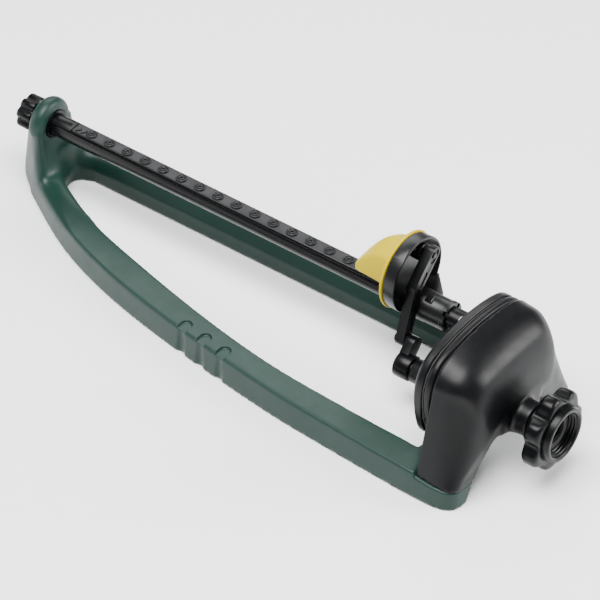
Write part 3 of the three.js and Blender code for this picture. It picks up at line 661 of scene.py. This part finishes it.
def body_ring(section, margin=0.0):
    """The body's outline at one section; it gets squarer towards the hose end."""
    x, top, half, foot = section
    t = fade(x, BODY_X, 188)
    q = t * t * (3 - 2 * t)
    profile = spline([
        (-(0.34 + 0.1 * q) * half, top - 1), (0, top), ((0.34 + 0.1 * q) * half, top - 1),
        ((0.64 + 0.07 * q) * half, top - 4 + 1.5 * q), ((0.82 + 0.05 * q) * half, top - 8.5 + 2.5 * q),
        ((0.94 + 0.02 * q) * half, top - 15 + 4 * q), (half, top - 24 + 4 * q),
        (lerp(half, foot, 0.5), lerp(top - 24, FOOT_RING_Z, 0.5)), (foot, FOOT_RING_Z)], 120)
    profile = spline([p for p in profile if p[0] > MIDDLE_GAP], 55)
    return inset(mirrored(profile), margin)


def arch_ring(x, margin=0.0):
    """The hollow under the inlet's neck, which rises towards the hose end."""
    rise = fade(x, 175, 195)
    half = spline([
        (0, 17 + 14 * rise), (10, 17 + 14 * rise), (19, 17 + 17 * rise), (26, 16.5 + 17 * rise),
        (35 - 7.5 * rise, 12 + 20 * rise), (40 - 5.5 * rise, 4 + 19 * rise), (41 + 1.5 * rise, 12.7 * rise),
        (41 + 10 * rise, -4)], 36)[1:]
    return inset(mirrored(half), -margin)


def around_heel(side):
    """A tool that rounds the housing's foot to the base's own corner and leans back above it."""
    def level(grow):
        corner = [(FOOT_END_X, 20)] + foot_corner() + [(BODY_X, RAIL_Y)]
        ring = [(x + grow, y + 0.3 * grow) for x, y in corner] + [(BODY_X, 90), (215, 90), (215, 20)]
        return [(x, side * y) for x, y in ring]
    return stack("heel", [(-5, level(-0.4)), (20, level(-0.4)), (50, level(4.2))])


def housing_cavity(sections):
    """The tool that hollows the housing, which leaves the heels and the arch's roof in place."""
    inner = loft_x("inner", [(155, body_ring(BODY_SECTIONS[0], 4))] + [
        (s[0] - HOUSING_WALL, body_ring(s, HOUSING_WALL)) for s in sections if s[0] < SHELL_X1 - 1])
    limit = rounded_plate("limit", [(150, HOUSING_WALL), (215, HOUSING_WALL)])
    inner = combine(inner, [limit], "INTERSECT")
    heels = [block("heel", (HEEL_X - 3, 215), y, (0, 39)) for y in ((-OUTSIDE, -19), (19, OUTSIDE))]
    inner = subtract(inner, heels)
    return subtract(inner, [loft_x("roof", [(x, arch_ring(x, 2.5)) for x in ARCH_X])])


def housing_shell():
    sections = spline(BODY_SECTIONS, 44)
    body = loft_x("body", [(s[0], body_ring(s)) for s in sections])
    body = subtract(body, [loft_x("arch", [(x, arch_ring(x)) for x in ARCH_X])])
    groove_x0, groove_x1, neck_end = LIP_X - 22.5, LIP_X - 13, LIP_X - 9.5
    neck = turned("neck", [
        (188, 0), (188, NECK_RADIUS), (196, 13.0), (198.5, 12.2), (200.5, 11.6), (203, NECK_RADIUS),
        (groove_x0, NECK_RADIUS), (groove_x0, 9.6), (groove_x1, 9.6), (groove_x1, 11), (neck_end, 11),
        (neck_end, 0)], 0, INLET_Z)
    flange = rounded_plate("flange", [
        (SHELL_X0, 2), (SHELL_X0, 0.9), (SHELL_X0 + 0.5, 0.25), (SHELL_X0 + 1.2, 0), (BEAD_X - 1.3, 0),
        (BEAD_X - 0.5, 0.3), (BEAD_X, 1.1), (BEAD_X, 2.2), (BODY_X + 1.5, 2.2), (BODY_X + 1.5, 4)])
    shell = combine(body, [neck, flange], "UNION")
    cavity = housing_cavity(sections)
    feet = [(140, -10), (220, -10), (220, FOOT_END_Z - 2.4), (FOOT_END_X, FOOT_END_Z + 0.1),
            (FOOT_START_X, FOOT_FRONT_Z + 0.35), (140, 19.3)]
    shell = subtract(shell, [loft_y("feet", feet, -OUTSIDE, OUTSIDE), around_heel(-1), around_heel(1)])
    outward(shell)
    shell = moulded(shell, voxel=0.62, rounds=9)
    sweep(shell, lambda x, z: fade(x, 181, 187) * fade(x, 200.5, 197.5) * fade(z, 14, 20), rounds=45)
    hollows = [cavity, round_tool("bore", 185, LIP_X, INLET_BORE, 0, INLET_Z)]
    hollows += [round_tool("screw", SHELL_X0 - 1, SHELL_X0 + 8, SCREW_PILOT, y, z, 24)
                for y, z in PLATE_SCREWS]
    return shade(subtract(shell, hollows))


finish_piece(back_plate(), HOUSING, "base", "housing_plastic", "housing_back_plate").name = "housing_back"
finish_piece(housing_shell(), HOUSING, "base", "housing_plastic", "housing_shell").name = "housing_moulding"

# ---- Spray tube with its nozzle strip ----
NOZZLE_X = [NOZZLE_FIRST_X + i * NOZZLE_PITCH for i in range(NOZZLE_COUNT)]
STRIP_X0, STRIP_X1, STRIP_HALF = NOZZLE_X[0] - 13.5, NOZZLE_X[-1] + 13.5, 4.9
# An eyelet's section: radius and height above the strip, round its hole.
EYELET = [
    (0.6, -0.4), (3.9, -0.4), (3.9, 0.4), (3.75, 0.8), (3.4, 1.0), (3.0, 0.9), (2.75, 0.55), (2.5, 0.3),
    (2.2, 0.35), (2.0, 0.8), (1.7, 1.15), (1.4, 1.2), (1.05, 1.05), (0.8, 0.7), (0.6, 0.2),
]
EYELET_SIDES, CRESCENT_STEPS = 40, 24


def spray_tube():
    tube = turned("tube", [(TUBE_FAR_X, TUBE_BORE), (TUBE_FAR_X, TUBE_RADIUS), (TUBE_INLET_X, TUBE_RADIUS),
                           (TUBE_INLET_X, TUBE_BORE)], TUBE_Y, TUBE_Z)
    step_z = FLAT_TOP - 1.4
    step = [(STRIP_X0 - 0.4, step_z), (STRIP_X1 + 0.4, step_z), (STRIP_X1 + 2.2, 62), (STRIP_X0 - 2.2, 62)]
    tube = subtract(tube, [loft_y("seat", step, TUBE_Y - 8, TUBE_Y + 8)])
    return shade(soften(tube, width=0.25, angle=25), angle=30)


def eyelet(x):
    rings = [[(px, py, FLAT_TOP + z) for px, py in arc(x, TUBE_Y, radius, EYELET_SIDES)]
             for radius, z in EYELET]
    return loft("eyelet", rings, ring_shaped=True)


def crescent(start, width):
    """A raised crescent near the strip's far end."""
    bows = [math.sin(math.pi * i / CRESCENT_STEPS) for i in range(CRESCENT_STEPS + 1)]
    outer = [(start + 1.6 * bow, TUBE_Y - 3.4 + 6.8 * i / CRESCENT_STEPS) for i, bow in enumerate(bows)]
    inner = [(x + width * bow ** 0.7 * 0.45, y) for bow, (x, y) in list(zip(bows, outer))[1:-1]]
    outline = outer + inner[::-1]
    return stack("crescent", [(FLAT_TOP - 0.3, outline), (FLAT_TOP + 0.55, outline)])


def nozzle_strip():
    section = [(-STRIP_HALF, -1.1), (STRIP_HALF, -1.1), (STRIP_HALF, -0.35), (STRIP_HALF - 0.5, -0.05),
               (STRIP_HALF - 0.9, 0), (0, 0), (-STRIP_HALF + 0.9, 0), (-STRIP_HALF + 0.5, -0.05),
               (-STRIP_HALF, -0.35)]
    ends = ((STRIP_X0, 0.94), (STRIP_X0 + 0.5, 1), (STRIP_X1 - 0.5, 1), (STRIP_X1, 0.94))
    strip = loft_x("strip", [
        (x, [(TUBE_Y + a * grow, FLAT_TOP + b) for a, b in section]) for x, grow in ends])
    shells = [strip] + [eyelet(x) for x in NOZZLE_X]
    shells += [crescent(STRIP_X0 + 2.2, 2.6), crescent(STRIP_X0 + 6.6, 2.0)]
    return shade(soften(join("nozzle_strip_moulding", shells), width=0.12))


finish_piece(spray_tube(), BLACK, "tube", "black_plastic", "spray_tube").name = "tube_moulding"
finish_piece(nozzle_strip(), NOZZLE, "tube", "nozzle_rubber", "nozzle_strip").name = "nozzle_strip_moulding"

# ---- Clean-out plug ----
PLUG_X0, PLUG_X1, PLUG_RADIUS = -226.5, TUBE_FAR_X - 0.3, 12.4
PLUG_LOBES, STEM_END_X = 8, -205.5


def clean_out_plug():
    knob = turned("knob", [
        (PLUG_X0 + 2.4, 0, 0), (PLUG_X0 + 2.4, 6.2, 0), (PLUG_X0 + 2.0, 6.9, 0), (PLUG_X0 + 0.2, 7.4, 0.3),
        (PLUG_X0, 8.2, 0.4), (PLUG_X0, 9.6, 0.9), (PLUG_X0 + 0.3, 11.2, 1.6), (PLUG_X0 + 1.1, 12.1, 2.0),
        (PLUG_X0 + 2.2, PLUG_RADIUS, 2.2), (PLUG_X1 - 1.4, PLUG_RADIUS, 2.1), (PLUG_X1 - 0.4, 11.9, 1.9),
        (PLUG_X1, 11.0, 1.5), (PLUG_X1, 0, 0)], TUBE_Y, TUBE_Z, 160, PLUG_LOBES)
    stem = turned("stem", [
        (PLUG_X1 - 1, 0), (PLUG_X1 - 1, 3.6), (-212, 3.6), (-211.7, 3.1), (-206, 3.1), (STEM_END_X, 2.7),
        (STEM_END_X, 0.9), (-209, 0.9), (-209, 0)], TUBE_Y, TUBE_Z, 48)
    return shade(join("clean_out_knob", [knob, stem]))


finish_piece(clean_out_plug(), BLACK, "plug", "black_plastic", "clean_out_plug")

# ---- Range dial, its cup and the drive link ----
HUB_RADIUS, HUB_X1 = 10.4, 120.5
PIN_Y, PIN_Z = 39.0, 89.0
LINK_X0, LINK_X1 = 95.0, 101.4
CRANK_PIN = (12.5, 38.5)
KINK = (24.0, 73.5)
SLOT_REACH, PANEL_DEPTH, PIN_RADIUS, CRANK_X0 = 2.3, 0.6, 2.2, 102.6


def collar_notch(angle):
    """One notch in the end of the cup's collar."""
    notch = block("notch", (HUB_X1 - 2.5, HUB_X1 + 1), (-1.6, 1.6), (HUB_RADIUS - 3.4, HUB_RADIUS + 1))
    on_axis = Matrix.Translation((0, TUBE_Y * MM, TUBE_Z * MM))
    notch.data.transform(on_axis @ Matrix.Rotation(angle, 4, "X"))
    return notch


def dial_cup():
    r = DIAL_RADIUS
    floor_x = DIAL_FLOOR_X + 2.4
    cup = turned("cup", [
        (DIAL_FLOOR_X, 0), (DIAL_FLOOR_X, r - 0.9), (DIAL_FLOOR_X + 0.3, r - 0.45), (DIAL_RIM_X - 1.2, r),
        (DIAL_RIM_X - 0.4, r - 0.2), (DIAL_RIM_X, r - 0.8), (DIAL_RIM_X, r - 1.5),
        (DIAL_RIM_X - 0.3, r - 1.9), (DIAL_FLOOR_X + 3.0, r - 6.0), (DIAL_FLOOR_X + 2.5, r - 7.0),
        (floor_x, r - 8.2), (floor_x, 0)], TUBE_Y, DIAL_Z, 128)
    collar = turned("collar", [
        (DIAL_FLOOR_X, 0), (DIAL_FLOOR_X, HUB_RADIUS), (104, HUB_RADIUS), (104.6, HUB_RADIUS - 0.25),
        (HUB_X1 - 3.6, HUB_RADIUS - 0.3), (HUB_X1 - 3.2, HUB_RADIUS), (HUB_X1 - 0.5, HUB_RADIUS),
        (HUB_X1, HUB_RADIUS - 0.5), (HUB_X1, 0)], TUBE_Y, TUBE_Z, 96)
    root_x, tip_x = DIAL_FLOOR_X + 1, 106.8
    gusset = stack("gusset", [
        (z, [(root_x, 36), (tip_x, 36), (tip_x, 43), (DIAL_RIM_X, 57.3 + grow), (root_x, 56 + grow)])
        for z, grow in ((57.6, -1.5), (60.2, 0))])
    cup = combine(cup, [collar, gusset], "UNION")
    bore = round_tool("bore", DIAL_FLOOR_X - 1, HUB_X1 + 1, TUBE_RADIUS + 0.3, TUBE_Y, TUBE_Z, 64)
    cup = subtract(cup, [bore] + [collar_notch(math.pi * (0.25 + 0.5 * i)) for i in range(4)])
    ribs = [loft_x("rib", [(DIAL_FLOOR_X + 2, quad), (DIAL_RIM_X - 2.4, quad)]) for quad in (
        [(33.2, 92), (34.6, 92), (34.6, 98), (33.2, 98)], [(18, 88), (19.2, 88), (17, 91.5), (15.9, 90.6)])]
    tab_rows = ((102.6, 10.4), (103.2, 12.2), (107.6, 12.2), (108.2, 10.4))
    tab = loft_x("tab", [
        (x, [(TUBE_Y - 6, TUBE_Z + 7.6), (TUBE_Y - 1, TUBE_Z + 9.6), (TUBE_Y - 1.2, TUBE_Z + top),
             (TUBE_Y - 5.6, TUBE_Z + top - 1.6)]) for x, top in tab_rows])
    return shade(soften(join("dial_cup_moulding", [cup, tab] + ribs), width=0.22), angle=35)


# The grip's sections: X and five corners, from its nose back to the dial.
GRIP_SECTIONS = [
    (54.5, [(20, 68), (29, 67), (30.5, 73), (25, 74.5), (20, 73)]),
    (60, [(18.5, 68), (34, 66), (36, 79.5), (28, 83.5), (19.5, 80)]),
    (67, [(17.5, 68), (39, 65), (42, 86.5), (32, 92), (19, 87)]),
    (74, [(17, 67.5), (42, 64.5), (45.5, 90.5), (34, 96), (18, 90.5)]),
    (DIAL_FLOOR_X - 1.6, [(16, 66), (44.5, 64), (47, 90.5), (34, 97.5), (17, 91)]),
]


GRIP_CORNERS = 5
EDGE_STEPS = (0.06, 0.16, 0.5, 0.84, 0.94)  # points along each side, closer near its corners


def grip_ring(corners):
    """A section's outline, with its corners pulled in a little."""
    centre = (sum(c[0] for c in corners) / GRIP_CORNERS, sum(c[1] for c in corners) / GRIP_CORNERS)
    ring = []
    for i in range(GRIP_CORNERS):
        a, b = corners[i], corners[(i + 1) % GRIP_CORNERS]
        for t in EDGE_STEPS:
            pull = 0.06 * abs(2 * t - 1) ** 3
            ring.append(partway(partway(a, b, t), centre, pull))
    return ring


def range_dial():
    back, front = 81.2, DIAL_FLOOR_X - 0.3
    rim = turned("rim", [
        (back, 0), (back, DIAL_RADIUS - 1.6), (back + 0.3, DIAL_RADIUS - 0.7),
        (DIAL_FLOOR_X - 1.8, DIAL_RADIUS + 0.55), (DIAL_FLOOR_X - 1.0, DIAL_RADIUS + 0.6),
        (front, DIAL_RADIUS + 0.4), (front, 0)], TUBE_Y, DIAL_Z, 128)
    flat = spline([(x, *[c for point in points for c in point]) for x, points in GRIP_SECTIONS], 24)
    grip = loft_x("grip", [(row[0], grip_ring(list(zip(row[1::2], row[2::2])))) for row in flat])
    dial = combine(rim, [grip], "UNION")
    dial = subtract(dial, [round_tool("bore", 50, DIAL_FLOOR_X + 1, TUBE_RADIUS + 0.4, TUBE_Y, TUBE_Z, 64)])
    dial = moulded(dial, voxel=0.45, rounds=4)
    dial.name = "range_dial_moulding"
    return dial


def bar_outline(a, b, radius, steps=14):
    """A bar with round ends about two points in Y and Z."""
    angle = math.atan2(b[1] - a[1], b[0] - a[0])
    return (arc(*b, radius, steps, angle - math.pi / 2, math.pi)
            + arc(*a, radius, steps, angle + math.pi / 2, math.pi))


def bar(name, x0, x1, a, b, radius):
    outline = bar_outline(a, b, radius)
    return loft_x(name, [(x0, outline), (x1, outline)])


SLOT_ANGLE = math.atan2(PIN_Z - KINK[1], PIN_Y - KINK[0])


def along_slot(distance):
    """A point on the slot's middle line, from the pin's place at rest."""
    return PIN_Y + distance * math.cos(SLOT_ANGLE), PIN_Z + distance * math.sin(SLOT_ANGLE)


def drive_link():
    slot_end, boss_at = along_slot(SLOT_REACH), along_slot(1.0)
    link = combine(bar("lower", LINK_X0, LINK_X1, CRANK_PIN, KINK, 4.2),
                   [bar("upper", LINK_X0, LINK_X1, KINK, slot_end, 4.75)], "UNION")
    tools = [bar("slot", LINK_X0 - 1, LINK_X1 - 1.3, along_slot(-4.9), slot_end, 3.05),
             bar("eye", LINK_X1 - PANEL_DEPTH, LINK_X1 + 1, along_slot(-1.2), slot_end, 3.3),
             round_tool("pin", LINK_X0 - 1, LINK_X1 + 1, 2.6, *CRANK_PIN, 32)]
    lower = (partway(CRANK_PIN, KINK, 0.2), partway(CRANK_PIN, KINK, 0.9))
    upper = (partway(KINK, along_slot(0), 0.1), partway(KINK, along_slot(0), 0.42))
    for x0, x1 in ((LINK_X1 - PANEL_DEPTH, LINK_X1 + 1), (LINK_X0 - 1, LINK_X0 + 1.1)):
        tools.append(bar("panel", x0, x1, *lower, 2.5))
        tools.append(bar("panel", x0, x1, *upper, 2.2))
    link = subtract(link, tools)
    link = combine(link, [round_tool("boss", LINK_X1 - 1, LINK_X1 + 0.4, 2.0, *boss_at, 32)], "UNION")
    return shade(soften(link, width=0.3, segments=3), angle=35)


def dial_pin():
    end_x = LINK_X1 - 1.7
    pin = turned("pivot_pin", [
        (87.0, 0), (87.0, 5.4), (87.6, 6), (93.4, 6), (94, 5.4), (94, PIN_RADIUS), (end_x - 0.3, PIN_RADIUS),
        (end_x, PIN_RADIUS - 0.3), (end_x, 0)], PIN_Y, PIN_Z, 48)
    return shade(pin, angle=35)


def crank():
    hub = turned("hub", [
        (CRANK_X0, 0), (CRANK_X0, 7.6), (103.2, 8.4), (104, 8.6), (113, 8.6), (113.7, 8.3), (114, 7.7),
        (114, 0)], CRANK_Y, CRANK_Z, 72)
    arm = bar("arm", CRANK_X0, 109, (CRANK_Y, CRANK_Z), CRANK_PIN, 5.4)
    pin = turned("pin", [
        (93.4, 0), (93.4, 2.7), (93.7, 3.1), (94.2, 3.1), (94.5, 2.8), (94.5, PIN_RADIUS), (104, PIN_RADIUS),
        (104, 0)], *CRANK_PIN, 40)
    hub = combine(hub, [arm, pin], "UNION")
    hub = subtract(hub, [round_tool("bore", 104.6, 115, 4.3, CRANK_Y, CRANK_Z)])
    return shade(soften(hub, width=0.45, segments=3), angle=35)


finish_piece(dial_cup(), CUP, "dial", "black_plastic", "dial_cup")
finish_piece(range_dial(), YELLOW, "dial", "yellow_plastic", "range_dial")
finish_piece(dial_pin(), BLACK, "dial", "black_plastic", "dial_pin")
finish_piece(drive_link(), BLACK, "link", "black_plastic", "drive_link").name = "link_moulding"
finish_piece(crank(), BLACK, "crank", "black_plastic", "crank").name = "crank_moulding"

# ---- Hose coupling ----
NUT_X0, NUT_X1, NUT_RADIUS, LOBES, LOBE_START = LIP_X - 16.7, LIP_X - 4.5, 27.0, 7, 0.39
THREAD, PITCH, NUT_BORE = 14.0, 2.3, 10.1


def hose_coupling():
    lobes = [
        (NUT_X0, NUT_BORE, 0), (NUT_X0, 14, 0), (NUT_X0 + 0.2, 19, 1.0), (NUT_X0 + 0.5, 23.5, 2.8),
        (NUT_X0 + 1.2, 25.6, 3.9), (NUT_X0 + 2.4, 26.7, 5.0), (NUT_X0 + 3.8, NUT_RADIUS, 5.4),
        (NUT_X1 - 3.4, NUT_RADIUS, 5.4), (NUT_X1 - 1.6, 26.4, 4.6), (NUT_X1 - 0.5, 25, 3.0)]
    mouth = [
        (NUT_X1, 23, 1.4), (NUT_X1, 20.4, 0), (NUT_X1 - 0.5, 19.4, 0), (NUT_X1 - 0.5, 18.9, 0),
        (LIP_X - 1.2, 18.6, 0), (LIP_X - 0.3, 18.2, 0), (LIP_X, 17.4, 0), (LIP_X, 16.2, 0),
        (LIP_X - 0.5, 15.5, 0), (LIP_X - 1.0, 15.0, 0)]
    thread = []
    x = LIP_X - 1.5
    while x - PITCH > LIP_X - 12.0:
        thread += [(x, 14.9, 0), (x - 0.6, 14.6, 0), (x - 1.0, THREAD, 0), (x - 1.35, THREAD, 0),
                   (x - 1.75, 14.6, 0)]
        x -= PITCH
    inside = [(LIP_X - 12.2, 14.4, 0), (LIP_X - 13.4, THREAD, 0), (LIP_X - 13.4, NUT_BORE, 0)]
    nut = turned("nut", lobes + mouth + thread + inside, 0, 0, 224, LOBES)
    nut.data.transform(Matrix.Translation((0, 0, INLET_Z * MM)) @ Matrix.Rotation(LOBE_START, 4, "X"))
    return shade(nut, angle=45)


finish_piece(hose_coupling(), BLACK, "coupling", "black_plastic", "hose_coupling").name = "coupling_moulding"

# ---- CAD nodes that keep their shape ----
# Node: its material and the width of its rounded edges.
CARRIED = {
    "housing_gasket": (RUBBER, 0.1), "end_bearing_bush": (BLACK, 0.25), "tube_bearing": (BLACK, 0.25),
    "tube_seal": (RUBBER, 0.1), "shaft_seal": (RUBBER, 0.1), "plug_o_ring": (RUBBER, 0.1),
    "cleaning_needle": (STEEL, 0.05), "output_shaft": (STEEL, 0.3), "output_gear": (WHITE, 0.08),
    "second_gear": (WHITE, 0.08), "first_gear": (WHITE, 0.08), "second_gear_axle": (STEEL, 0.1),
    "first_gear_axle": (STEEL, 0.1), "gear_plate_front": (WHITE, 0.15), "gear_plate_rear": (WHITE, 0.15),
    "turbine": (WHITE, 0.1), "turbine_shaft": (STEEL, 0.05), "jet_nozzle": (WHITE, 0.2),
    "hose_washer": (RUBBER, 0.3), "inlet_filter": (WHITE, 0.1),
}
CARRIED.update({f"plate_screw_{i}": (STEEL, 0.12) for i in range(1, 6)})
CARRIED.update({f"base_screw_{i}": (STEEL, 0.12) for i in (1, 2)})
for node, (material, width) in CARRIED.items():
    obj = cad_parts[node]
    obj.data.materials.clear()
    obj.data.materials.append(material)
    soften(obj, width)


# ---- Floor and light ----
FLOOR_HALF, FLOOR_Z = 6.0, -0.0005
WORLD_COLOUR, WORLD_STRENGTH = (0.96, 0.98, 1.0, 1), 0.35
LIT_POINT = Vector((0, 0, 0.03))
# Each softbox: its name, its place and size in metres, and its power in watts.
SOFTBOXES = [
    ("over", (0.1, -0.4, 1.6), (1.4, 1.0), 80),
    ("hose_side", (1.4, 1.1, 0.75), (1.0, 0.9), 45),
    ("back_left", (-0.95, 1.2, 1.3), (1.2, 0.9), 20),
    ("left", (-1.5, -0.85, 0.5), (0.9, 0.7), 12),
]


def floor():
    shader = Shader("pale_floor", (0.92, 0.925, 0.93), 0.75)
    shader.tint(shader.noise(3, 2), (0.915, 0.92, 0.925), (0.925, 0.93, 0.935))
    mesh = bpy.data.meshes.new("floor")
    corners = [(-FLOOR_HALF, -FLOOR_HALF), (FLOOR_HALF, -FLOOR_HALF), (FLOOR_HALF, FLOOR_HALF),
               (-FLOOR_HALF, FLOOR_HALF)]
    mesh.from_pydata([(x, y, FLOOR_Z) for x, y in corners], [], [(0, 1, 2, 3)])
    obj = placed("floor", mesh)
    obj.data.materials.append(shader.material)


def softbox(name, at, size, power):
    data = bpy.data.lights.new(name, "AREA")
    data.shape = "RECTANGLE"
    data.size, data.size_y = size
    data.energy = power
    obj = placed(name, data)
    obj.location = at
    obj.rotation_euler = (LIT_POINT - Vector(at)).to_track_quat("-Z", "Y").to_euler()


def studio():
    world = bpy.data.worlds.new("studio")
    world.use_nodes = True
    background = world.node_tree.nodes["Background"]
    background.inputs["Color"].default_value = WORLD_COLOUR
    background.inputs["Strength"].default_value = WORLD_STRENGTH
    bpy.context.scene.world = world
    for box in SOFTBOXES:
        softbox(*box)


floor()
studio()
